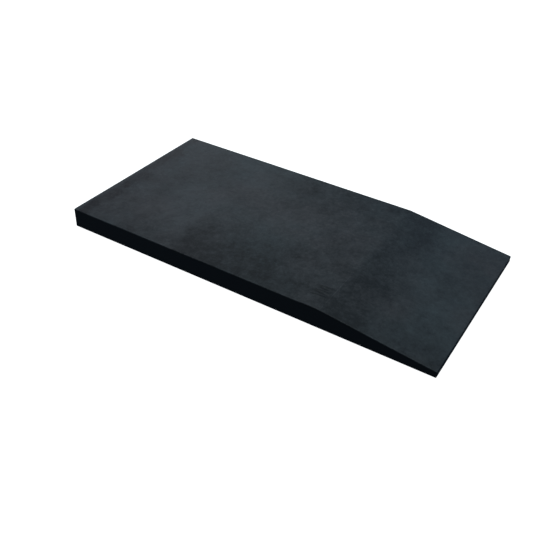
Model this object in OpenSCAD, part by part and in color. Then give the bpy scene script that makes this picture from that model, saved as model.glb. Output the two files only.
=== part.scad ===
// Portable wheelchair ramp: a level landing, then a short slope down to a blunt nose.
// Two foam blocks make the shape, two boards spread the wheels' load over them, and bonded
// rubber sheet covers every face. Nothing moves: the ramp is glued up as one slab.
// Frame: +X points down the slope to the nose, +Y is the far side, and +Z is up.
// The origin is on the floor, under the middle of the ramp.

/* [Overall] */
// Length from the rear end to the nose
ramp_l = 1490; // [1400:10:1700]
// Width across the wheels' path
ramp_w = 750; // [650:10:950]
// Height of the level landing above the floor
landing_h = 76; // [60:1:90]
// Length of the level landing, from the rear end to the bend
landing_l = 1072; // [800:4:1140]
// Height of the blunt nose, where the wheels roll on
nose_h = 24; // [20:1:34]
// Radius of the four upright corners
corner_r = 3; // [1:0.5:3]

/* [Rubber sheet] */
// Thickness of the tread sheets and of the strips round the edge
sheet_t = 3; // [2:0.5:5]
// Radius on the front edge of the slope's tread sheet
tread_front_r = 2; // [0.5:0.5:2]
// Length of the solid rubber bar inside the nose
nose_bar_l = 40; // [20:5:80]

/* [Base sheet] */
// Thickness of the base sheet, ribs included
base_t = 4; // [3:0.5:6]
// Depth of the grooves between the ribs
rib_h = 1.5; // [0.5:0.5:2]
// Distance from one rib to the next
rib_pitch = 10; // [8:1:20]
// Width of each rib
rib_w = 5; // [3:0.5:6]
// Plain border left round the ribbed field
rib_border = 15; // [10:1:40]

/* [Inside] */
// Thickness of the boards that lie between the tread sheets and the foam
board_t = 6; // [3:1:9]
// Overlap of the half-lap joint between the two foam blocks
lap_l = 60; // [30:5:100]

/* [Hidden] */
$fn = 48;

// Places along the ramp
rear_x = -ramp_l / 2;
nose_x = ramp_l / 2;
bend_x = rear_x + landing_l;
inner_rear_x = rear_x + sheet_t;
inner_nose_x = nose_x - nose_bar_l;

// Places across it
inner_w = ramp_w - 2 * sheet_t;
strip_y = (ramp_w - sheet_t) / 2;

// Depths below the top face: of the boards' upper side, and of the foam's
foam_top = sheet_t + board_t;

// Height of the step in the foam blocks' lap joint, halfway up the foam
lap_z = (base_t + landing_h - foam_top) / 2;

// Drop of the slope for each millimetre along it
fall = (landing_h - nose_h) / (nose_x - bend_x);

// Margin by which a trimming shape runs past what it trims
past = 10;

// Height of the ramp's top face at a place along it
function top_z(x) = x < bend_x ? landing_h : landing_h - fall * (x - bend_x);

// Side view of a block that stands on a level base and stays a depth below the top face
module block_view(x0, x1, base_z, depth) {
    bend = x0 < bend_x && bend_x < x1 ? [[bend_x, landing_h - depth]] : [];
    polygon(concat(
        [[x0, base_z], [x0, top_z(x0) - depth]],
        bend,
        [[x1, top_z(x1) - depth], [x1, base_z]]
    ));
}

// Side view of a layer of even thickness that lies a depth below the top face
module layer_view(x0, x1, depth, thickness) {
    polygon([
        [x0, top_z(x0) - depth], [x1, top_z(x1) - depth],
        [x1, top_z(x1) - depth - thickness], [x0, top_z(x0) - depth - thickness]
    ]);
}

// Stands a side view up and gives it a width, centred on y
module across(width, y = 0) {
    translate([0, y + width / 2, 0]) rotate([90, 0, 0]) linear_extrude(width) children();
}

// Plan of the ramp with its corners rounded
module plan() {
    square([ramp_l - 2 * corner_r, ramp_w], center = true);
    square([ramp_l, ramp_w - 2 * corner_r], center = true);
    for (sx = [-1, 1], sy = [-1, 1])
        translate([sx * (ramp_l / 2 - corner_r), sy * (ramp_w / 2 - corner_r)]) circle(corner_r);
}

// Trims a piece to the rounded plan
module trimmed() {
    intersection() {
        children();
        translate([0, 0, -past]) linear_extrude(landing_h + 2 * past) plan();
    }
}

// Part of the side view that belongs to the landing's foam block, whose upper half laps over
module lap_region() {
    translate([rear_x, 0]) square([bend_x - lap_l / 2 - rear_x, landing_h]);
    translate([rear_x, lap_z]) square([bend_x + lap_l / 2 - rear_x, landing_h - lap_z]);
}

// Level foam block
module landing_core() {
    color("gainsboro") across(inner_w) intersection() {
        block_view(inner_rear_x, inner_nose_x, base_t, foam_top);
        lap_region();
    }
}

// Tapered foam block, which slides under the landing's lap
module slope_core() {
    color("silver") across(inner_w) difference() {
        block_view(inner_rear_x, inner_nose_x, base_t, foam_top);
        lap_region();
    }
}

// Plywood board under the landing's tread sheet
module landing_board() {
    color("burlywood") across(inner_w) layer_view(inner_rear_x, bend_x, sheet_t, board_t);
}

// Plywood board under the slope's tread sheet
module slope_board() {
    color("tan") across(inner_w) layer_view(bend_x, inner_nose_x, sheet_t, board_t);
}

// Rubber sheet on the level landing
module landing_tread() {
    color("#3a3f43") trimmed() across(ramp_w) layer_view(rear_x, bend_x, 0, sheet_t);
}

// Rubber sheet on the slope, butted to the landing's sheet at the bend
module slope_tread() {
    round_x = nose_x - tread_front_r;
    round_z = top_z(nose_x) - tread_front_r;
    color("#33383c") trimmed() across(ramp_w) {
        difference() {
            layer_view(bend_x, nose_x, 0, sheet_t);
            translate([round_x, round_z]) square([past, past]);
        }
        intersection() {
            layer_view(bend_x, nose_x, 0, sheet_t);
            translate([round_x, round_z]) circle(tread_front_r);
        }
    }
}

// Rubber sheet under the ramp, ribbed across the travel so that it grips the floor
module base_sheet() {
    field_l = ramp_l - 2 * rib_border;
    field_w = ramp_w - 2 * rib_border;
    groove_w = rib_pitch - rib_w;
    grooves = floor((field_l + rib_w) / rib_pitch);
    color("#26292b") {
        translate([0, 0, rib_h]) linear_extrude(base_t - rib_h) plan();
        linear_extrude(rib_h) difference() {
            plan();
            for (i = [0 : grooves - 1])
                translate([(i - (grooves - 1) / 2) * rib_pitch, 0])
                    square([groove_w, field_w], center = true);
        }
    }
}

// Rubber strip along one long side, past the ends of the rear strip and the nose bar
module side_strip(y) {
    color("#1f2224") trimmed() across(sheet_t, y) block_view(rear_x, nose_x, base_t, sheet_t);
}

module near_side_strip() {
    side_strip(-strip_y);
}

module far_side_strip() {
    side_strip(strip_y);
}

// Rubber strip across the rear end, between the side strips
module rear_end_strip() {
    color("#232628") across(inner_w) block_view(rear_x, inner_rear_x, base_t, sheet_t);
}

// Solid rubber bar that takes the wheels' knock at the nose
module nose_bar() {
    color("#232628") across(inner_w) block_view(inner_nose_x, nose_x, base_t, sheet_t);
}

landing_core();
slope_core();
landing_board();
slope_board();
landing_tread();
slope_tread();
base_sheet();
near_side_strip();
far_side_strip();
rear_end_strip();
nose_bar();
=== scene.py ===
# %% [markdown]
# # A portable wheelchair ramp
# The real ramp is one glued-up slab. A long level landing falls away, after a bend, to a thin
# blunt nose. Foam inside makes the shape, thin boards spread the load, and black rubber sheet
# covers every face. Nothing on it moves, so every piece here rides on the one body, "root".
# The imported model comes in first. It is the fixed frame, and every piece below is placed by it.

# %% Load the frame
import math

import bpy
import numpy as np
from mathutils import Matrix, Vector, noise


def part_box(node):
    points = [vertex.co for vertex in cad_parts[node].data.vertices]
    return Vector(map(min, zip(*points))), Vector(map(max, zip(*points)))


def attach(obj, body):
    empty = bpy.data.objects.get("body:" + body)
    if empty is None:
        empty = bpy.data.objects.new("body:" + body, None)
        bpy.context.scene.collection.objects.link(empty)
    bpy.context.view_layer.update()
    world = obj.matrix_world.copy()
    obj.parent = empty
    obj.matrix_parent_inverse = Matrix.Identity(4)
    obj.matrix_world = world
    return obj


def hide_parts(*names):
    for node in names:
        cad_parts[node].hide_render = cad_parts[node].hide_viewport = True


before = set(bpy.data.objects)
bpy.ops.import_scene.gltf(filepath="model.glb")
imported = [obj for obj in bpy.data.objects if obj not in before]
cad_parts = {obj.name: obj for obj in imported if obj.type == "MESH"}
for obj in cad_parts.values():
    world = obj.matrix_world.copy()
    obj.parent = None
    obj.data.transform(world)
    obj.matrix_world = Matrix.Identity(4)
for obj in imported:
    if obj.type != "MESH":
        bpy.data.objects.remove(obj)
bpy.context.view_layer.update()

# %% [markdown]
# ## Places along the ramp
# The frame's boxes say where the rear end, the bend and the nose are, and how thick the rubber
# sheet is. The top face is level up to the bend and then falls evenly, so one formula gives its
# height anywhere.

# %% Places
MM = 0.001
tread_low, tread_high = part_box("landing_tread")
slope_low, slope_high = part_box("slope_tread")
REAR = tread_low.x
BEND = tread_high.x
NOSE = slope_high.x
NEAR = tread_low.y
FAR = tread_high.y
SHEET = tread_high.z - tread_low.z
LANDING_TOP = tread_high.z
NOSE_TOP = slope_low.z + SHEET
FALL = (LANDING_TOP - NOSE_TOP) / (NOSE - BEND)


def top_height(x):
    """Height of the ramp's top face at places x along it."""
    return LANDING_TOP - FALL * np.maximum(x - BEND, 0)


print("rear, bend, nose, mm:", [round(x / MM) for x in (REAR, BEND, NOSE)])
print("slope, degrees:", round(math.degrees(math.atan(FALL)), 1))

# %% [markdown]
# ## Camera
# It stands at a grown person's eye height, off the low near corner, and looks down on the ramp.
# The view leans a little, so the camera is rolled about its own line of sight. A camera can be
# placed by its coordinates, but a point on the floor that it looks at, and its distance, azimuth
# and elevation from there, are easier to picture and to adjust.

# %% Camera
VIEW_AZIMUTH = 29.54
VIEW_ELEVATION = 37.15
VIEW_ROLL = 3.13
VIEW_DISTANCE = 2.606
LOOK_AT = Vector((0.0886, -0.2222, 0.0))
LENS_MM = 46.84

azimuth = math.radians(VIEW_AZIMUTH)
elevation = math.radians(VIEW_ELEVATION)
back = Vector((
    math.sin(azimuth) * math.cos(elevation),
    -math.cos(azimuth) * math.cos(elevation),
    math.sin(elevation),
))
camera = bpy.data.objects.new("camera", bpy.data.cameras.new("camera"))
camera.data.lens = LENS_MM
lean = Matrix.Rotation(math.radians(VIEW_ROLL), 4, "Z")
turn = (-back).to_track_quat("-Z", "Y").to_matrix().to_4x4()
camera.matrix_world = Matrix.Translation(LOOK_AT + back * VIEW_DISTANCE) @ turn @ lean
bpy.context.scene.collection.objects.link(camera)
bpy.context.scene.camera = camera
print("camera at, m:", [round(c, 2) for c in camera.matrix_world.translation])

# %% [markdown]
# ## Mesh helpers
# A die-cut rubber sheet is a flat slab whose upper edges are worn round. A grid of points makes
# that well: its lines bunch up where the edge turns over, and a formula gives each point's height.
# Bevelling a box would give the edge too, but not the wrinkles and waves that sheet shows.

# %% Grid lines
EDGE_STEPS = 6


def lines(start, end, pitch, start_round=0.0, end_round=0.0):
    """Grid lines from start to end, about a pitch apart, and closer where an edge turns over."""
    turn_over = 1 - np.cos(np.linspace(0, math.pi / 2, EDGE_STEPS))
    inner = np.linspace(start + start_round, end - end_round, max(2, round((end - start) / pitch)))
    head = start + start_round * turn_over[:-1] if start_round else []
    tail = end - end_round * turn_over[-2::-1] if end_round else []
    return np.concatenate([head, inner, tail])


def turned_edge(distance, radius):
    """How far a rounded edge drops below the flat, at a distance in from the outline."""
    short = radius - np.clip(distance, 0, radius)
    return radius - np.sqrt(np.maximum(radius ** 2 - short ** 2, 0))


print("a 2 mm edge drops, mm, 0, 1 and 2 mm in:", turned_edge(np.array([0, 1, 2]), 2).round(2))


# %% [markdown]
# Seen from above, the ramp is a rectangle with slightly round corners. The grid is square, so its
# corner points are pulled in on to the arc. That keeps every line of the grid whole, where cutting
# the corners off would leave odd faces.

# %% The plan with its four round corners
CORNER_R = 3 * MM
TINY = 1e-9


def round_corners(x, y):
    """Moves points of the square plan on to the plan with round corners, without folding any."""
    over_x = np.maximum(np.abs(x) - (NOSE - CORNER_R), 0)
    over_y = np.maximum(np.abs(y) - (FAR - CORNER_R), 0)
    reach = np.hypot(over_x, over_y)
    pull = np.where((over_x > 0) & (over_y > 0), np.maximum(over_x, over_y) / np.maximum(reach, TINY), 1)
    return (
        x - np.sign(x) * over_x * (1 - pull),
        y - np.sign(y) * over_y * (1 - pull),
    )


def inset(x, y):
    """Distance in from the rounded plan's outline."""
    from_end = NOSE - np.abs(x)
    from_side = FAR - np.abs(y)
    in_corner = (from_end < CORNER_R) & (from_side < CORNER_R)
    corner = CORNER_R - np.hypot(CORNER_R - from_end, CORNER_R - from_side)
    return np.where(in_corner, corner, np.minimum(from_end, from_side))


corner_x, corner_y = round_corners(np.array(NOSE), np.array(FAR))
pulled = np.hypot(NOSE - corner_x, FAR - corner_y) / MM
print("a square corner is pulled in by, mm:", round(float(pulled), 2))


# %% [markdown]
# Two shapes are enough for every piece: a slab on a grid, and a bar through rings of points. Both
# are closed, with all their faces turned outward, as a solid piece needs. Faces that meet at less
# than the smooth angle are shaded as one surface.

# %% Turning points into pieces
SMOOTH_ANGLE = math.radians(35)


def piece_from(name, points, faces):
    """A piece that rides on the ramp's one body, from its points and faces."""
    mesh = bpy.data.meshes.new(name)
    mesh.from_pydata(points.tolist(), [], faces)
    mesh.shade_smooth()
    mesh.set_sharp_from_angle(angle=SMOOTH_ANGLE)
    piece = bpy.data.objects.new(name, mesh)
    bpy.context.scene.collection.objects.link(piece)
    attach(piece, "root")
    print(name, "has", len(faces), "faces")
    return piece


def slab(name, xs, ys, top, bottom):
    """A closed slab on a grid of lines. top and bottom give the two faces' heights from x and y."""
    x, y = round_corners(*np.meshgrid(xs, ys, indexing="ij"))
    upper = np.stack([x, y, top(x, y)], -1).reshape(-1, 3)
    lower = np.stack([x, y, bottom(x, y)], -1).reshape(-1, 3)
    number = np.arange(x.size).reshape(x.shape)
    quads = np.stack([number[:-1, :-1], number[1:, :-1], number[1:, 1:], number[:-1, 1:]], -1)
    quads = quads.reshape(-1, 4)
    rim = np.concatenate([number[:-1, 0], number[-1, :-1], number[:0:-1, -1], number[0, :0:-1]])
    ahead = np.roll(rim, -1)
    walls = np.stack([rim + x.size, ahead + x.size, ahead, rim], -1)
    faces = np.concatenate([quads, quads[:, ::-1] + x.size, walls])
    return piece_from(name, np.concatenate([upper, lower]), faces.tolist())


def bar(name, rings):
    """A closed bar through rings of points, one ring for each station along it."""
    stations, around = rings.shape[:2]
    number = np.arange(stations * around).reshape(stations, around)
    ahead = np.roll(number, -1, axis=1)
    sides = np.stack([number[:-1], number[1:], ahead[1:], ahead[:-1]], -1).reshape(-1, 4).tolist()
    ends = [number[0].tolist(), number[-1, ::-1].tolist()]
    return piece_from(name, rings.reshape(-1, 3), sides + ends)


def waves(x, y, length, seed):
    """Smooth waves between about -1 and 1, a length from one to the next."""
    places = zip(x.ravel(), y.ravel())
    flat = [noise.noise(Vector((a / length, b / length, seed))) for a, b in places]
    return 2 * np.array(flat).reshape(x.shape)


# %% [markdown]
# ## Tread sheets
# Two sheets of 3 mm black rubber are glued down on the boards, and they butt together at the bend.
# At the near side the glue has let go a little. The landing's sheet has lifted there beside the
# seam, and small wrinkles run across the last few centimetres before it. Cloth simulation could
# make them, but they are few and small, so each is a ridge that a formula adds to the grid.

# %% Shape of the tread's surface
EDGE_R = 1.8 * MM
LIFT = 2.0 * MM
LIFT_BACK = 42 * MM
LIFT_LENGTH = 24 * MM
LIFT_REACH = 55 * MM
SEAM_OPEN = 210 * MM
SEAM_R_OPEN = 0.8 * MM
SEAM_R_SHUT = 0.1 * MM
WRINKLES = 6
WRINKLE_FIRST = 62 * MM
WRINKLE_PITCH = 13 * MM
WRINKLE_SLANT = 0.12
WRINKLE_WIDTH = 2.6 * MM
WRINKLE_HEIGHT = 1.5 * MM
WRINKLE_START = 70 * MM
WRINKLE_END = 8 * MM
WRINKLE_FADE = 16 * MM
WRINKLE_MEAN = 0.7
WRINKLE_SPREAD = 0.3
WRINKLE_TURN = 2.4
SHEET_WAVES = ((300 * MM, 0.22 * MM), (110 * MM, 0.10 * MM))
WAVE_SEED = 1.7
WAVE_SINK = 0.5


def lifted(x, y):
    """How far the landing's sheet has come away from its board beside the seam."""
    along = np.exp(-0.5 * ((x - (BEND - LIFT_BACK)) / LIFT_LENGTH) ** 2)
    return LIFT * along * np.exp(-((y - NEAR) / LIFT_REACH) ** 2)


def wrinkled(x, y):
    """Small ridges across the landing's last few centimetres, near the open end of the seam."""
    before = BEND - x
    from_ends = np.minimum(WRINKLE_START - before, before - WRINKLE_END)
    strength = np.clip(from_ends / WRINKLE_FADE, 0, 1)
    total = np.zeros_like(x)
    for k in range(WRINKLES):
        middle = NEAR + WRINKLE_FIRST + k * WRINKLE_PITCH + WRINKLE_SLANT * before * (-1) ** k
        share = WRINKLE_MEAN + WRINKLE_SPREAD * math.cos(WRINKLE_TURN * k)
        total = total + share * np.exp(-0.5 * ((y - middle) / WRINKLE_WIDTH) ** 2)
    return WRINKLE_HEIGHT * total * strength


def seam_radius(y):
    """Radius of the sheets' edges along the seam: wide where the seam gapes, and tight past that."""
    gape = np.sqrt(np.clip(1 - (y - NEAR) / SEAM_OPEN, 0, 1))
    return SEAM_R_SHUT + (SEAM_R_OPEN - SEAM_R_SHUT) * gape


def tread_top(x, y):
    """Height of the worn tread, with the seam, the long soft waves in the sheet, and its edges."""
    soft = sum(height * (waves(x, y, length, WAVE_SEED) - WAVE_SINK) for length, height in SHEET_WAVES)
    seam = turned_edge(np.abs(x - BEND), seam_radius(y))
    return top_height(x) + soft - seam - turned_edge(inset(x, y), EDGE_R)


print("seam's edge radius, mm, near and far:", (seam_radius(np.array([NEAR, FAR])) / MM).round(2))


# %% [markdown]
# The grid has to be fine only where the wrinkles are. Its lines stand 2.5 mm apart in that corner
# and 7 mm apart elsewhere, so the whole sheet stays light.

# %% Landing tread
FINE = 2.5 * MM
COARSE = 7 * MM
LANDING_FINE = 90 * MM
NEAR_FINE = 170 * MM

landing_xs = np.concatenate([
    lines(REAR, BEND - LANDING_FINE, COARSE, start_round=CORNER_R)[:-1],
    lines(BEND - LANDING_FINE, BEND, FINE, end_round=SEAM_R_OPEN),
])
tread_ys = np.concatenate([
    lines(NEAR, NEAR + NEAR_FINE, FINE, start_round=CORNER_R)[:-1],
    lines(NEAR + NEAR_FINE, FAR, COARSE, end_round=CORNER_R),
])
landing_tread = slab(
    "landing_tread_sheet", landing_xs, tread_ys,
    lambda x, y: tread_top(x, y) + lifted(x, y) + wrinkled(x, y),
    lambda x, y: top_height(x) - SHEET + lifted(x, y),
)
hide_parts("landing_tread")

# %% [markdown]
# The slope's sheet has the same outline and the same soft waves, but no wrinkles, because it hasn't
# come unstuck.

# %% Slope tread
slope_xs = lines(BEND, NOSE, COARSE, start_round=SEAM_R_OPEN, end_round=CORNER_R)
slope_tread = slab(
    "slope_tread_sheet", slope_xs, tread_ys,
    tread_top,
    lambda x, y: top_height(x) - SHEET,
)
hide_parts("slope_tread")

# %% [markdown]
# ## Strips round the edge
# The same sheet, cut in strips, is glued to the two long sides and the rear end. Each strip's
# edges are slightly round, so a fine dark line shows where it meets the tread and the base. A
# bevelled box could be a strip too, but it couldn't follow the bend. So a bar swept through rings
# of points makes each strip, and each ring is the strip's own cross-section.

# %% Cross-section of a strip
STRIP_R = 0.7 * MM
STRIP_STEPS = 4
ROWS_UP = 6
SET_BACK = 0.25 * MM
BASE_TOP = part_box("base_sheet")[1].z


def strip_section(height, thick):
    """(outward, up) points round a strip: its two outer edges are round and it is flat at the back."""
    angles = np.linspace(-math.pi / 2, 0, STRIP_STEPS)
    foot = [(thick - STRIP_R + STRIP_R * math.cos(a), STRIP_R + STRIP_R * math.sin(a)) for a in angles]
    face = [(thick, z) for z in np.linspace(STRIP_R, height - STRIP_R, ROWS_UP)[1:-1]]
    head = [(u, height - z) for u, z in reversed(foot)]
    return np.array([(0, 0)] + foot + face + head + [(0, height)])


def strip_rings(stations, tops, thick, place):
    """Rings for a strip. place(s, outward, up) turns a station and a section's point into a place."""
    rings = []
    for s, top in zip(stations, tops):
        section = strip_section(top - BASE_TOP, thick)
        rings.append([place(s, u, BASE_TOP + z) for u, z in section])
    return np.array(rings)


print("points round a strip:", len(strip_section(LANDING_TOP - SHEET - BASE_TOP, SHEET)))


# %% [markdown]
# A strip's outer face isn't quite flat: the knife wanders, and the glue pulls it in here and
# there. A slow noise of a fraction of a millimetre gives that. The far strip's rings run the other
# way round, so that its faces point outward too.

# %% Side strips
STATION = 12 * MM
STRIP_WAVE = 0.15 * MM
STRIP_WAVE_ALONG = 130 * MM
STRIP_WAVE_UP = 50 * MM
side_xs = np.concatenate([
    lines(REAR, BEND, STATION, start_round=CORNER_R)[:-1],
    lines(BEND, NOSE, STATION, end_round=CORNER_R),
])
side_strips = []
for side, name in ((-1, "near_side_strip"), (1, "far_side_strip")):
    def on_side(x, outward, up, side=side):
        """A section's point at a station along a long side, with the strip's waves."""
        wave = STRIP_WAVE * noise.noise(Vector((x / STRIP_WAVE_ALONG, up / STRIP_WAVE_UP, side)))
        y = side * (FAR - SHEET - SET_BACK + outward + wave * (outward > 0))
        round_x, round_y = round_corners(np.array(x), np.array(y))
        return float(round_x), float(round_y), up

    rings = strip_rings(side_xs, top_height(side_xs) - SHEET, SHEET, on_side)
    if side > 0:
        rings = rings[:, ::-1]
    strip = bar(name + "_rubber", rings)
    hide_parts(name)
    side_strips.append(strip)

# %% [markdown]
# The rear strip butts against the step that the ramp leads up to. It is a shorter bar of the same
# section, level from end to end, so only the turning of stations into places is new.

# %% Rear strip
REAR_SEED = 4.0
rear_low, rear_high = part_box("rear_end_strip")
rear_stations = round((rear_high.y - rear_low.y) / STATION)
rear_ys = np.linspace(rear_low.y, rear_high.y, rear_stations)


def on_rear(y, outward, up):
    """A section's point at a station across the rear end, with the strip's waves."""
    wave = STRIP_WAVE * noise.noise(Vector((y / STRIP_WAVE_ALONG, up / STRIP_WAVE_UP, REAR_SEED)))
    return REAR + SHEET + SET_BACK - outward - wave * (outward > 0), y, up


rear_strip = bar(
    "rear_end_strip_rubber",
    strip_rings(rear_ys, np.full(rear_ys.size, rear_high.z), SHEET, on_rear)[:, ::-1],
)
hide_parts("rear_end_strip")

# %% [markdown]
# ## Nose bar
# The nose takes every knock from a castor, so it is solid rubber under the tread sheet. Its front
# face is almost flush with the sheet's worn edge. A strip's cross-section fits it too, once the
# back of it is as high as the slope is there, so no new kind of shape is needed.

# %% Nose bar
NOSE_WAVE = 0.12 * MM
NOSE_WAVE_ALONG = 90 * MM
NOSE_WAVE_UP = 30 * MM
NOSE_SEED = 9.0
nose_low, nose_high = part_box("nose_bar")
nose_stations = round((nose_high.y - nose_low.y) / STATION)
section = strip_section(NOSE_TOP - SHEET - BASE_TOP, nose_high.x - nose_low.x)
nose_rings = []
for y in np.linspace(nose_low.y, nose_high.y, nose_stations):
    ring = []
    for outward, up in section:
        x = nose_low.x + outward
        if outward == 0 and up > 0:
            up = top_height(nose_low.x) - SHEET - BASE_TOP
        wave = NOSE_WAVE * noise.noise(Vector((y / NOSE_WAVE_ALONG, up / NOSE_WAVE_UP, NOSE_SEED)))
        ring.append((x - (SET_BACK - wave) * (outward > 0), y, BASE_TOP + up))
    nose_rings.append(ring)
nose_bar = bar("nose_bar_rubber", np.array(nose_rings))
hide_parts("nose_bar")

# %% [markdown]
# ## Base sheet
# The underside is ribbed sheet, as sold for matting. Ribs run across the ramp, so that it can't
# slide along the wheels' path. A bump in the material could draw the grooves, but the mesh itself
# would stay flat. So they are real: the grid has a line at the top and the foot of each groove's
# wall.

# %% Base sheet
RIB_PITCH = 10 * MM
GROOVE_W = 5 * MM
GROOVE_DEEP = 1.5 * MM
WALL = 0.4 * MM
BORDER = 15 * MM
BASE_R = 0.8 * MM
FIELD_LINES = 7
FIELD_REACH = 300 * MM

field_l = (NOSE - REAR) - 2 * BORDER
grooves = int((field_l + RIB_PITCH - GROOVE_W) / RIB_PITCH)
groove_mids = (np.arange(grooves) - (grooves - 1) / 2) * RIB_PITCH
half_groove = GROOVE_W / 2
walls = (-half_groove, WALL - half_groove, half_groove - WALL, half_groove)
groove_lines = [middle + wall for middle in groove_mids for wall in walls]
rim_lines = CORNER_R * (1 - np.cos(np.linspace(0, math.pi / 2, EDGE_STEPS)))
field_edge = FAR - BORDER
base_xs = np.concatenate([REAR + rim_lines, groove_lines, NOSE - rim_lines[::-1]])
base_ys = np.concatenate([
    NEAR + rim_lines,
    [-field_edge, WALL - field_edge],
    np.linspace(-FIELD_REACH, FIELD_REACH, FIELD_LINES),
    [field_edge - WALL, field_edge],
    FAR - rim_lines[::-1],
])


def groove_depth(x, y):
    """How deep the grooves are at each point of the underside."""
    from_mid = np.abs((x / RIB_PITCH + grooves / 2) % 1 - 0.5) * RIB_PITCH
    across = np.clip((half_groove - from_mid) / WALL, 0, 1)
    ends = np.clip((field_edge - np.abs(y)) / WALL, 0, 1)
    inside = np.abs(x) <= groove_mids[-1] + half_groove
    return GROOVE_DEEP * across * ends * inside


base_sheet = slab(
    "base_sheet_rubber", base_xs, base_ys,
    lambda x, y: np.full_like(x, BASE_TOP),
    lambda x, y: groove_depth(x, y) + turned_edge(inset(x, y), BASE_R),
)
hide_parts("base_sheet")
print("grooves underneath:", grooves)

# %% [markdown]
# ## Colour and node helpers
# Colours are written as sRGB hex values, as they look, and one function turns them to the linear
# values that shaders use. One more function adds a node with its settings and its links. A mix
# node has sockets of the same name for numbers and colours, so its colour sockets go by number.

# %% Helpers
COLOUR_A = 6
COLOUR_B = 7
COLOUR_OUT = 2


def linear(hex_colour):
    """An sRGB hex colour as linear red, green, blue and alpha."""
    shares = [int(hex_colour[i:i + 2], 16) / 255 for i in (1, 3, 5)]
    # the two limbs of the sRGB standard's own curve
    return [s / 12.92 if s <= 0.04045 else ((s + 0.055) / 1.055) ** 2.4 for s in shares] + [1.0]


def add(owner, kind, settings=None, links=None):
    """Adds a node: settings are sockets' values or the node's own options, links feed its sockets."""
    node = owner.node_tree.nodes.new(kind)
    for key, value in (settings or {}).items():
        if isinstance(key, int) or key in node.inputs:
            node.inputs[key].default_value = value
        else:
            setattr(node, key, value)
    for key, source in (links or {}).items():
        owner.node_tree.links.new(source, node.inputs[key])
    return node


def emptied(owner):
    """Turns nodes on in a new material or world, and takes out the ones it comes with."""
    owner.use_nodes = True
    owner.node_tree.nodes.clear()
    return owner


print("middle grey, linear:", [round(c, 3) for c in linear("#808080")])


# %% [markdown]
# ## Tread rubber
# Vulcanised rubber sheet is rolled warm between steel drums and cured against a fine cloth. That leaves
# a matte slate black with a mottle of a centimetre or two. Wax and sulphur come up to the surface later,
# as a pale bloom in clouds a hand or two wide. Wheels rub it off along their two tracks. Just past the
# bend the tread is painted darker, as painted shade where the slope catches less reflected light. One
# number, the bloom, sets both the colour and the gloss, because bare rubber is blacker and a little
# shinier. The painted highlights and painted shade on the tread are added to that number too.
#
# First come the places where wheels, hands and shoes have changed the bloom, and the band of painted
# shade just past the bend. They could be painted on by hand, but a place written as limits can be moved
# by changing one number.

# %% Places on the tread
WANDER_LENGTH = 120 * MM
WANDER_SEED = 3.0
TREAD_PLACES = {
    # name: (change of the bloom, then each limit's axis, start, full strength and wander)
    "near wheel's track": (
        -0.32,
        ("Y", NEAR + 330 * MM, NEAR + 200 * MM, 110 * MM),
        ("X", REAR + 415 * MM, REAR + 465 * MM, 80 * MM),
        ("X", BEND + 20 * MM, BEND - 280 * MM, 80 * MM),
    ),
    "start of the near track": (
        -0.12,
        ("Y", NEAR + 240 * MM, NEAR + 130 * MM, 80 * MM),
        ("X", REAR + 420 * MM, REAR + 460 * MM, 80 * MM),
        ("X", REAR + 780 * MM, REAR + 620 * MM, 100 * MM),
    ),
    "far wheel's track": (
        -0.11,
        ("Y", FAR - 330 * MM, FAR - 150 * MM, 120 * MM),
        ("X", REAR + 520 * MM, REAR + 640 * MM, 120 * MM),
    ),
    "far shoulder of the bend": (
        -0.13,
        ("Y", FAR - 380 * MM, FAR - 230 * MM, 100 * MM),
        ("X", REAR + 860 * MM, REAR + 960 * MM, 90 * MM),
        ("X", BEND + 180 * MM, BEND + 100 * MM, 80 * MM),
    ),
    "near shoulder of the bend": (
        -0.16,
        ("Y", NEAR + 340 * MM, NEAR + 220 * MM, 90 * MM),
        ("X", BEND - 110 * MM, BEND - 30 * MM, 70 * MM),
        ("X", BEND + 200 * MM, BEND + 110 * MM, 80 * MM),
    ),
    "shoes along the near edge": (
        -0.19,
        ("Y", NEAR + 190 * MM, NEAR + 60 * MM, 60 * MM),
    ),
    # painted shade: a darker band just past the bend, where the slope catches less reflected light
    "past the bend": (
        -0.31,
        ("X", BEND - 14 * MM, BEND + 30 * MM, 30 * MM),
        ("X", BEND + 190 * MM, BEND + 105 * MM, 80 * MM),
    ),
    "hand marks at the rear": (
        -0.48,
        ("X", REAR + 72 * MM, REAR + 44 * MM, 190 * MM),
        ("X", REAR + 8 * MM, REAR + 22 * MM, 60 * MM),
    ),
    "dust before the near track": (
        0.28,
        ("X", REAR + 210 * MM, REAR + 300 * MM, 120 * MM),
        ("X", REAR + 520 * MM, REAR + 430 * MM, 90 * MM),
        ("Y", NEAR + 490 * MM, NEAR + 370 * MM, 120 * MM),
        ("Y", NEAR + 20 * MM, NEAR + 110 * MM, 60 * MM),
    ),
}
print("places on the tread:", len(TREAD_PLACES))

# %% [markdown]
# Each place is a few soft limits along X or Y, and it counts where all of them hold: every limit's
# result is the most that the next one may give. A slow noise moves the limits about, so that no
# edge of a place is straight.

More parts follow.
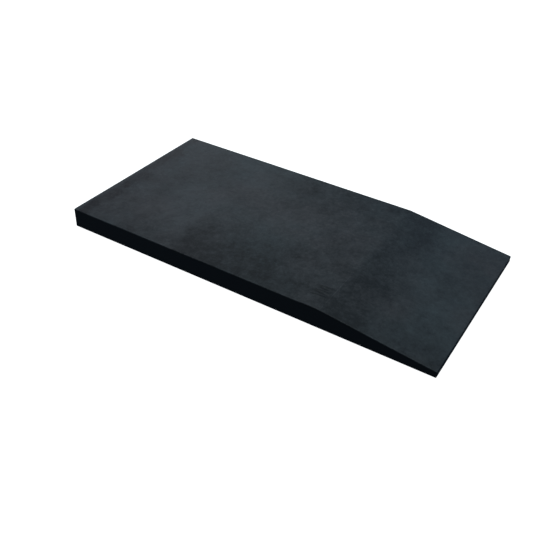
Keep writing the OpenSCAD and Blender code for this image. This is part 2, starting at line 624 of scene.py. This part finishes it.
# %% Drawing the places
def tread_places(material, place):
    """How much the places on the tread raise or lower the bloom."""
    axes = add(material, "ShaderNodeSeparateXYZ", links={0: place})
    drift = add(
        material, "ShaderNodeTexNoise",
        {
            "noise_dimensions": "4D", "W": WANDER_SEED,
            "Scale": 1 / WANDER_LENGTH, "Detail": 4.0, "Roughness": 0.6,
        },
        {"Vector": place},
    )
    centred = add(
        material, "ShaderNodeMath", {"operation": "SUBTRACT", 1: 0.5}, {0: drift.outputs["Fac"]},
    )
    total = None
    for change, *limits in TREAD_PLACES.values():
        here = None
        for axis, start, full, wander in limits:
            moved = add(
                material, "ShaderNodeMath", {"operation": "MULTIPLY_ADD", 1: wander},
                {0: centred.outputs[0], 2: axes.outputs[axis]},
            )
            so_far = {"To Max": here.outputs[0]} if here else {}
            here = add(
                material, "ShaderNodeMapRange",
                {"interpolation_type": "SMOOTHSTEP", "From Min": start, "From Max": full},
                {"Value": moved.outputs[0], **so_far},
            )
        before = {2: total.outputs[0]} if total else {}
        total = add(
            material, "ShaderNodeMath", {"operation": "MULTIPLY_ADD", 1: change, 2: 0.0},
            {0: here.outputs[0], **before},
        )
    return total.outputs[0]


# %% [markdown]
# Lines come next. A pale line lies along the open end of the seam, and a scratch crosses it. The tread's
# outer edges carry painted highlights, where their worn round edges catch the light, and painted shade
# lies dark between the wrinkles. Each line runs along X in a frame of its own, which a Mapping node
# turns and moves into place.

# %% Pale and dark lines
LINE_SOFT = 0.5
LINE_ENDS_SOFT = 20 * MM
EDGE_IN = 1.5 * MM
TREAD_LINES = {
    # name: (middle x, middle y, direction in degrees, length, width, change of the bloom)
    # A pale line along the open end of the seam.
    "pale line in the seam": (BEND, NEAR + 102 * MM, 90, 215 * MM, 2.6 * MM, 0.6),
    "scratch over the seam": (BEND + 9 * MM, NEAR + 122 * MM, 111, 70 * MM, 1.8 * MM, 0.34),
    # Painted highlights: these four edge lines lighten the tread where its round edge catches the light.
    "near edge": (0.0, NEAR + EDGE_IN, 0, NOSE - REAR, 3.0 * MM, 0.25),
    "far edge": (0.0, FAR - EDGE_IN, 0, NOSE - REAR, 3.0 * MM, 0.1),
    "rear edge": (REAR + EDGE_IN, 0.0, 90, FAR - NEAR, 8.0 * MM, 0.8),
    "nose edge": (NOSE - EDGE_IN, 0.0, 90, FAR - NEAR, 3.0 * MM, 0.15),
}
print("pale lines on the tread:", len(TREAD_LINES))

# %% [markdown]
# Painted shade lies dark in the furrows between the wrinkles, so there is one dark line in each furrow.
# They lean one way and the other in turn, as the wrinkles do.

# %% Painted shade between the wrinkles
PAINTED_SHADE_BACK = 38 * MM
PAINTED_SHADE_TURN = 6
PAINTED_SHADE_LENGTH = 58 * MM
PAINTED_SHADE_WIDTH = 7 * MM
PAINTED_SHADE_CHANGE = -0.48

# Painted shade: one dark line in each furrow between the wrinkles, where shade falls.
for k in range(WRINKLES - 1):
    between = NEAR + WRINKLE_FIRST + (k + 0.5) * WRINKLE_PITCH
    degrees = PAINTED_SHADE_TURN * (-1) ** k
    TREAD_LINES[f"grime {k}"] = (
        BEND - PAINTED_SHADE_BACK, between, degrees, PAINTED_SHADE_LENGTH, PAINTED_SHADE_WIDTH, PAINTED_SHADE_CHANGE,
    )
print("all lines on the tread:", len(TREAD_LINES))

# %% [markdown]
# A noise breaks every line up unevenly, though never down to nothing.
# A line's two extents, its length and its width, limit it in the same way as a place's limits do.

# %% Drawing the lines
BREAK = 45 * MM
BREAK_LOW = 0.3
BREAK_HIGH = 0.6
BREAK_LEAST = 0.3


def tread_lines(material, place):
    """How much the lines on the tread raise or lower the bloom."""
    patchy = add(
        material, "ShaderNodeTexNoise", {"Scale": 1 / BREAK, "Detail": 3.0, "Roughness": 0.65},
        {"Vector": place},
    )
    broken = add(
        material, "ShaderNodeMapRange",
        {"From Min": BREAK_LOW, "From Max": BREAK_HIGH, "To Min": BREAK_LEAST},
        {"Value": patchy.outputs["Fac"]},
    )
    total = None
    for x, y, degrees, length, width, change in TREAD_LINES.values():
        turned = add(
            material, "ShaderNodeMapping",
            {
                "vector_type": "TEXTURE",
                "Location": (x, y, 0),
                "Rotation": (0, 0, math.radians(degrees)),
            },
            {"Vector": place},
        )
        axes = add(material, "ShaderNodeSeparateXYZ", links={0: turned.outputs[0]})
        here = broken
        for axis, extent, soft in (("X", length, LINE_ENDS_SOFT), ("Y", width, LINE_SOFT * width)):
            off = add(material, "ShaderNodeMath", {"operation": "ABSOLUTE"}, {0: axes.outputs[axis]})
            here = add(
                material, "ShaderNodeMapRange",
                {"From Min": (extent + soft) / 2, "From Max": (extent - soft) / 2},
                {"Value": off.outputs[0], "To Max": here.outputs[0]},
            )
        before = {2: total.outputs[0]} if total else {}
        total = add(
            material, "ShaderNodeMath", {"operation": "MULTIPLY_ADD", 1: change, 2: 0.0},
            {0: here.outputs[0], **before},
        )
    return total.outputs[0]


# %% [markdown]
# The bloom itself is a sum of noises, from clouds down to flecks. Its crumbs are a noise too, cut
# off so sharply that only its peaks show, as pale specks with clear edges. They are worn faint down
# the slope. Each noise in the sum has a seed, its fourth coordinate, which picks one pattern among
# many that are as likely.

# %% Bloom, wear and painted light
BARE_LEVEL = -1.30
RUBBED_BLACK = -0.15
FULL_CHALK = 1.0
CLOUD = 210 * MM
PATCH = 70 * MM
MOTTLE = 22 * MM
FLECK = 9 * MM
# size, weight and seed of each noise
BLOOM_NOISES = ((CLOUD, 1.0, 20.0), (PATCH, 0.95, 51.0), (MOTTLE, 0.9, 0.0), (FLECK, 0.8, 0.0))
CRUMB = 15 * MM
CRUMB_SHARE = 0.20
CRUMB_LOW = 0.52
CRUMB_HIGH = 0.64
CRUMBS_WHOLE = BEND + 120 * MM
CRUMBS_WORN = BEND + 280 * MM
CRUMBS_LEFT = 0.3
print("noises in the bloom:", len(BLOOM_NOISES))


def bloom_wear_and_painted_light(material, place):
    """A number from 0, rubbed bare, to 1, chalky, at each place on the tread, with painted highlights
    and painted shade added in.
    """
    wear_and_painted_shade = tread_places(material, place)
    total = add(material, "ShaderNodeMath", {"operation": "ADD", 1: BARE_LEVEL}, {0: wear_and_painted_shade})
    for size, weight, seed in BLOOM_NOISES:
        spots = add(
            material, "ShaderNodeTexNoise",
            {"noise_dimensions": "4D", "W": seed, "Scale": 1 / size, "Detail": 2.0, "Roughness": 0.55},
            {"Vector": place},
        )
        total = add(
            material, "ShaderNodeMath", {"operation": "MULTIPLY_ADD", 1: weight},
            {0: spots.outputs["Fac"], 2: total.outputs[0]},
        )
    peaks = add(
        material, "ShaderNodeTexNoise", {"Scale": 1 / CRUMB, "Detail": 3.0, "Roughness": 0.6},
        {"Vector": place},
    )
    axes = add(material, "ShaderNodeSeparateXYZ", links={0: place})
    fewer = add(
        material, "ShaderNodeMapRange",
        {"From Min": CRUMBS_WORN, "From Max": CRUMBS_WHOLE, "To Min": CRUMBS_LEFT},
        {"Value": axes.outputs["X"]},
    )
    crumbs = add(
        material, "ShaderNodeMapRange", {"From Min": CRUMB_LOW, "From Max": CRUMB_HIGH},
        {"Value": peaks.outputs["Fac"], "To Max": fewer.outputs[0]},
    )
    total = add(
        material, "ShaderNodeMath", {"operation": "MULTIPLY_ADD", 1: CRUMB_SHARE},
        {0: crumbs.outputs[0], 2: total.outputs[0]},
    )
    total = add(
        material, "ShaderNodeMath", {"operation": "ADD"},
        {0: total.outputs[0], 1: tread_lines(material, place)},
    )
    bloom_and_painted_light = add(
        material, "ShaderNodeMapRange", {"From Min": RUBBED_BLACK, "From Max": FULL_CHALK},
        {"Value": total.outputs[0]},
    )
    return bloom_and_painted_light.outputs[0]


# %% [markdown]
# The colour goes from bare black to chalky grey with the bloom. The grey is a little warmer in
# some broad areas than in others.

# %% Colour of the tread
HUE = 260 * MM
HUE_SEED = 1.0
HUE_LOW = 0.36
HUE_HIGH = 0.64


def tread_colour(material, place, bloom_and_painted_light):
    """The rubber's colour at each place on the tread."""
    broad = add(
        material, "ShaderNodeTexNoise",
        {"noise_dimensions": "4D", "W": HUE_SEED, "Scale": 1 / HUE, "Detail": 3.0, "Roughness": 0.6},
        {"Vector": place},
    )
    warmth = add(
        material, "ShaderNodeMapRange", {"From Min": HUE_LOW, "From Max": HUE_HIGH},
        {"Value": broad.outputs["Fac"]},
    )
    chalky = add(
        material, "ShaderNodeMix",
        {"data_type": "RGBA", COLOUR_A: linear("#4b5459"), COLOUR_B: linear("#535357")},
        {"Factor": warmth.outputs[0]},
    )
    body = add(
        material, "ShaderNodeMix", {"data_type": "RGBA", COLOUR_A: linear("#13181d")},
        {"Factor": bloom_and_painted_light, COLOUR_B: chalky.outputs[COLOUR_OUT]},
    )
    return body.outputs[COLOUR_OUT]


# %% [markdown]
# Two bumps, one on the other, give the mottle from the drums and the grain from the cloth. The
# grain is drawn coarser than a real weave, because that would be too fine to show.

# %% Grain of the tread
MOTTLE_DEEP = 0.9 * MM
CLOTH_DEEP = 0.4 * MM


def tread_grain(material, place):
    """The direction that each place on the tread seems to face."""
    mottle = add(
        material, "ShaderNodeTexNoise", {"Scale": 1 / MOTTLE, "Detail": 4.0, "Roughness": 0.6},
        {"Vector": place},
    )
    cloth = add(
        material, "ShaderNodeTexNoise", {"Scale": 1 / FLECK, "Detail": 2.0, "Roughness": 0.5},
        {"Vector": place},
    )
    coarse = add(
        material, "ShaderNodeBump", {"Strength": 0.6, "Distance": MOTTLE_DEEP},
        {"Height": mottle.outputs["Fac"]},
    )
    fine = add(
        material, "ShaderNodeBump", {"Strength": 0.6, "Distance": CLOTH_DEEP},
        {"Height": cloth.outputs["Fac"], "Normal": coarse.outputs["Normal"]},
    )
    return fine.outputs["Normal"]


# %% [markdown]
# Rubber's IOR is 1.52. Its dusty face shines less than that would give, so the specular level is
# below its usual 0.5. The roughness goes from bare to chalky with the bloom, as the colour does.

# %% Tread material
RUBBER_IOR = 1.52
BARE_ROUGH = 0.48
CHALK_ROUGH = 0.62


def tread_rubber():
    """Vulcanised rubber sheet, bloomed and rubbed."""
    material = emptied(bpy.data.materials.new("vulcanised rubber sheet"))
    place = add(material, "ShaderNodeTexCoord").outputs["Object"]
    bloom_and_painted_light = bloom_wear_and_painted_light(material, place)
    dull = add(
        material, "ShaderNodeMapRange", {"To Min": BARE_ROUGH, "To Max": CHALK_ROUGH}, {"Value": bloom_and_painted_light},
    )
    shader = add(
        material, "ShaderNodeBsdfPrincipled", {"IOR": RUBBER_IOR, "Specular IOR Level": 0.35},
        {
            "Base Color": tread_colour(material, place, bloom_and_painted_light),
            "Roughness": dull.outputs[0],
            "Normal": tread_grain(material, place),
        },
    )
    add(material, "ShaderNodeOutputMaterial", links={"Surface": shader.outputs[0]})
    return material


tread_material = tread_rubber()
for tread in (landing_tread, slope_tread):
    tread.data.materials.append(tread_material)
print(tread_material.name, "has", len(tread_material.node_tree.nodes), "nodes")

# %% [markdown]
# ## Edge rubber
# The strips and the nose bar are cut from the same stock with a knife and then buffed. The cut face has
# no bloom on it, with fine marks along the cut, and it is set blacker than the tread, partly as painted
# shade that keeps the near side as black as it stands in shade. Wave textures would draw those marks too
# evenly, so a noise stretched along the strip does it. The marks are a few millimetres wide, coarser
# than real ones, so that they show. The base sheet is the same rubber, moulded, and blacker still.

# %% Edge material
CUT_LENGTH = 90 * MM
CUT_WIDTH = 2.5 * MM
CUT_DEEP = 0.3 * MM
SCUFF = 45 * MM
SCUFF_LOW = 0.35
SCUFF_HIGH = 0.75
DULL_LOW = 0.3
DULL_HIGH = 0.7
BUFFED_ROUGH = 0.5
SCUFFED_ROUGH = 0.68


def edge_rubber(name, dark, light):
    """Cut or moulded rubber without bloom, from a dark colour to a lighter one where it is scuffed."""
    material = emptied(bpy.data.materials.new(name))
    place = add(material, "ShaderNodeTexCoord").outputs["Object"]
    stretched = add(
        material, "ShaderNodeMapping", {"Scale": (1 / CUT_LENGTH, 1 / CUT_LENGTH, 1 / CUT_WIDTH)},
        {"Vector": place},
    )
    cut = add(
        material, "ShaderNodeTexNoise", {"Scale": 1.0, "Detail": 3.0, "Roughness": 0.6},
        {"Vector": stretched.outputs[0]},
    )
    scuff = add(
        material, "ShaderNodeTexNoise", {"Scale": 1 / SCUFF, "Detail": 4.0, "Roughness": 0.65},
        {"Vector": place},
    )
    rubbed = add(
        material, "ShaderNodeMapRange", {"From Min": SCUFF_LOW, "From Max": SCUFF_HIGH},
        {"Value": scuff.outputs["Fac"]},
    )
    body = add(
        material, "ShaderNodeMix",
        {"data_type": "RGBA", COLOUR_A: linear(dark), COLOUR_B: linear(light)},
        {"Factor": rubbed.outputs[0]},
    )
    dull = add(
        material, "ShaderNodeMapRange",
        {
            "From Min": DULL_LOW, "From Max": DULL_HIGH,
            "To Min": BUFFED_ROUGH, "To Max": SCUFFED_ROUGH,
        },
        {"Value": scuff.outputs["Fac"]},
    )
    marks = add(
        material, "ShaderNodeBump", {"Strength": 0.4, "Distance": CUT_DEEP},
        {"Height": cut.outputs["Fac"]},
    )
    shader = add(
        material, "ShaderNodeBsdfPrincipled", {"IOR": RUBBER_IOR},
        {
            "Base Color": body.outputs[COLOUR_OUT],
            "Roughness": dull.outputs[0],
            "Normal": marks.outputs["Normal"],
        },
    )
    add(material, "ShaderNodeOutputMaterial", links={"Surface": shader.outputs[0]})
    return material


# Painted shade, in part: the strips' colours are darker than the tread's rubber so that the shaded near
# side stays near black.
edge_material = edge_rubber("buffed rubber edge", "#1a1c1e", "#232628")
for piece in (*side_strips, rear_strip, nose_bar):
    piece.data.materials.append(edge_material)
    print(piece.name, "wears", edge_material.name)
base_material = edge_rubber("ribbed rubber base", "#161819", "#1f2223")
base_sheet.data.materials.append(base_material)
print(base_sheet.name, "wears", base_material.name)

# %% [markdown]
# ## Boards and foam
# These are sealed inside, and show only if the rubber is peeled off, so they keep the packed
# model's own plain meshes. The boards are birch plywood, whose veneer is peeled from the log and
# sanded, so its pale grain runs long. A noise stretched along the ramp draws that grain, which
# needs no unwrapping and fits a board of any size.

# %% Plywood
GRAIN_LENGTH = 400 * MM
GRAIN_WIDTH = 6 * MM
PORES_DEEP = 0.1 * MM


def birch_plywood():
    """Sanded birch plywood, with its grain along the ramp."""
    material = emptied(bpy.data.materials.new("birch plywood"))
    place = add(material, "ShaderNodeTexCoord").outputs["Object"]
    stretched = add(
        material, "ShaderNodeMapping",
        {"Scale": (1 / GRAIN_LENGTH, 1 / GRAIN_WIDTH, 1 / GRAIN_WIDTH)}, {"Vector": place},
    )
    figure = add(
        material, "ShaderNodeTexNoise",
        {"Scale": 1.0, "Detail": 5.0, "Roughness": 0.55, "Distortion": 0.4},
        {"Vector": stretched.outputs[0]},
    )
    body = add(
        material, "ShaderNodeMix",
        {"data_type": "RGBA", COLOUR_A: linear("#c9a878"), COLOUR_B: linear("#e3cda4")},
        {"Factor": figure.outputs["Fac"]},
    )
    pores = add(
        material, "ShaderNodeBump", {"Strength": 0.3, "Distance": PORES_DEEP},
        {"Height": figure.outputs["Fac"]},
    )
    shader = add(
        material, "ShaderNodeBsdfPrincipled", {"Roughness": 0.6, "IOR": 1.45},
        {"Base Color": body.outputs[COLOUR_OUT], "Normal": pores.outputs["Normal"]},
    )
    add(material, "ShaderNodeOutputMaterial", links={"Surface": shader.outputs[0]})
    return material


plywood_material = birch_plywood()
print(plywood_material.name, "has", len(plywood_material.node_tree.nodes), "nodes")

# %% [markdown]
# The foam is closed-cell, moulded from beads and cut with a hot wire, so its face shows the beads
# as rounded cells. Voronoi cells are the same shape: points that have grown until they meet.

# %% Foam
BEAD = 4 * MM
BEAD_DEEP = 0.3 * MM


def bead_foam():
    """White foam moulded from beads, each a little dented where it meets the next."""
    material = emptied(bpy.data.materials.new("closed-cell bead foam"))
    place = add(material, "ShaderNodeTexCoord").outputs["Object"]
    beads = add(material, "ShaderNodeTexVoronoi", {"Scale": 1 / BEAD}, {"Vector": place})
    body = add(
        material, "ShaderNodeMix",
        {"data_type": "RGBA", COLOUR_A: linear("#e8e9ea"), COLOUR_B: linear("#c4c8cb")},
        {"Factor": beads.outputs["Distance"]},
    )
    dents = add(
        material, "ShaderNodeBump", {"Strength": 0.5, "Distance": BEAD_DEEP, "invert": True},
        {"Height": beads.outputs["Distance"]},
    )
    shader = add(
        material, "ShaderNodeBsdfPrincipled", {"Roughness": 0.75, "IOR": 1.49},
        {"Base Color": body.outputs[COLOUR_OUT], "Normal": dents.outputs["Normal"]},
    )
    add(material, "ShaderNodeOutputMaterial", links={"Surface": shader.outputs[0]})
    return material


foam_material = bead_foam()
print(foam_material.name, "has", len(foam_material.node_tree.nodes), "nodes")

# %% [markdown]
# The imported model's meshes come with materials of their own. Those are taken off and these put on,
# while the meshes stay as they are.

# %% Materials of the sealed pieces
inside = {
    "landing_board": plywood_material,
    "slope_board": plywood_material,
    "landing_core": foam_material,
    "slope_core": foam_material,
}
for name, material in inside.items():
    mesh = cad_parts[name].data
    mesh.materials.clear()
    mesh.materials.append(material)
    print(name, "is", material.name)

# %% [markdown]
# ## Floor
# The ramp stands on a pale, translucent sweep that is lit from below, so that no shadow shows. A
# plain floor lit only from above would turn grey round the ramp and throw light on its near side,
# which is almost black on the real one. So the floor glows, and diffuse and glossy rays pass it
# by, which keeps its glow off the ramp.

# %% Floor
FLOOR_R = 40.0
FLOOR_SIDES = 64
FLOOR_GLOW = 0.95

floor_mesh = bpy.data.meshes.new("floor")
angles = np.linspace(0, 2 * math.pi, FLOOR_SIDES, endpoint=False)
ring = [(FLOOR_R * math.cos(angle), FLOOR_R * math.sin(angle), 0.0) for angle in angles]
floor_mesh.from_pydata(ring, [], [list(range(len(ring)))])
floor = bpy.data.objects.new("floor", floor_mesh)
bpy.context.scene.collection.objects.link(floor)
floor_material = emptied(bpy.data.materials.new("pale matte floor"))
glow = add(
    floor_material, "ShaderNodeBsdfPrincipled",
    {
        "Base Color": linear("#f4f4f3"),
        "Roughness": 0.9,
        "Emission Color": linear("#ffffff"),
        "Emission Strength": FLOOR_GLOW,
    },
)
add(floor_material, "ShaderNodeOutputMaterial", links={"Surface": glow.outputs[0]})
floor_mesh.materials.append(floor_material)
floor.visible_diffuse = False
floor.visible_glossy = False
print("floor is", 2 * FLOOR_R, "m across")

# %% [markdown]
# ## Lights
# One big soft light hangs overhead and evens out the top. Two low ones stand beyond the far side,
# towards the rear, and their sheen lies over the landing. A higher one, nearer the nose, does the
# same for the slope, and one off the rear end shows that end's shape. None stands on the near
# side, so it falls into shade. One strong lamp would light the ramp too, but with a hard glare.

# %% Lights
LIGHT_AWAY = 3.2
LIGHT_AIM = Vector((0.0, 0.0, 0.05))
LIGHTS = {
    # name: (azimuth, elevation, side in metres, watts, colour)
    "overhead": (0, 89, 3.0, 40.2, "#f0ffff"),
    "low key": (-36, 12, 1.5, 7.0, "#eff9ff"),
    "low left": (-58, 12, 1.5, 4.2, "#fbf4ff"),
    "high right": (8, 28, 1.5, 5.6, "#cee7ff"),
    "rear fill": (-92, 8, 1.5, 12.0, "#f4f8ff"),
}


def softbox(name, azimuth, elevation, side, watts, colour):
    """A square soft light that faces the ramp. Azimuth 0 stands at its far side, 90 off the nose."""
    around = math.radians(azimuth)
    up = math.radians(elevation)
    away = Vector((
        math.sin(around) * math.cos(up),
        math.cos(around) * math.cos(up),
        math.sin(up),
    ))
    data = bpy.data.lights.new(name, "AREA")
    data.size = side
    data.energy = watts
    data.color = linear(colour)[:3]
    light = bpy.data.objects.new(name, data)
    light.location = LIGHT_AIM + away * LIGHT_AWAY
    light.rotation_mode = "QUATERNION"
    light.rotation_quaternion = (-away).to_track_quat("-Z", "Y")
    bpy.context.scene.collection.objects.link(light)
    print(name, "gives", watts, "W")


for name, settings in LIGHTS.items():
    softbox(name, *settings)

# %% [markdown]
# The studio's walls are seen as plain white, but give only a dim bluish fill. A light path node
# tells the two apart. The Standard view keeps the colours as they were written, where AgX, the
# usual one, would turn white to grey.

# %% World
ROOM_FILL = 0.072

world = emptied(bpy.data.worlds.new("studio"))
path = add(world, "ShaderNodeLightPath")
seen = add(world, "ShaderNodeBackground", {"Color": linear("#ffffff")})
dim = add(world, "ShaderNodeBackground", {"Color": linear("#badaff"), "Strength": ROOM_FILL})
mixed = add(
    world, "ShaderNodeMixShader",
    links={0: path.outputs["Is Camera Ray"], 1: dim.outputs[0], 2: seen.outputs[0]},
)
add(world, "ShaderNodeOutputWorld", links={0: mixed.outputs[0]})
bpy.context.scene.world = world
bpy.context.scene.view_settings.view_transform = "Standard"
print("room fill:", ROOM_FILL)
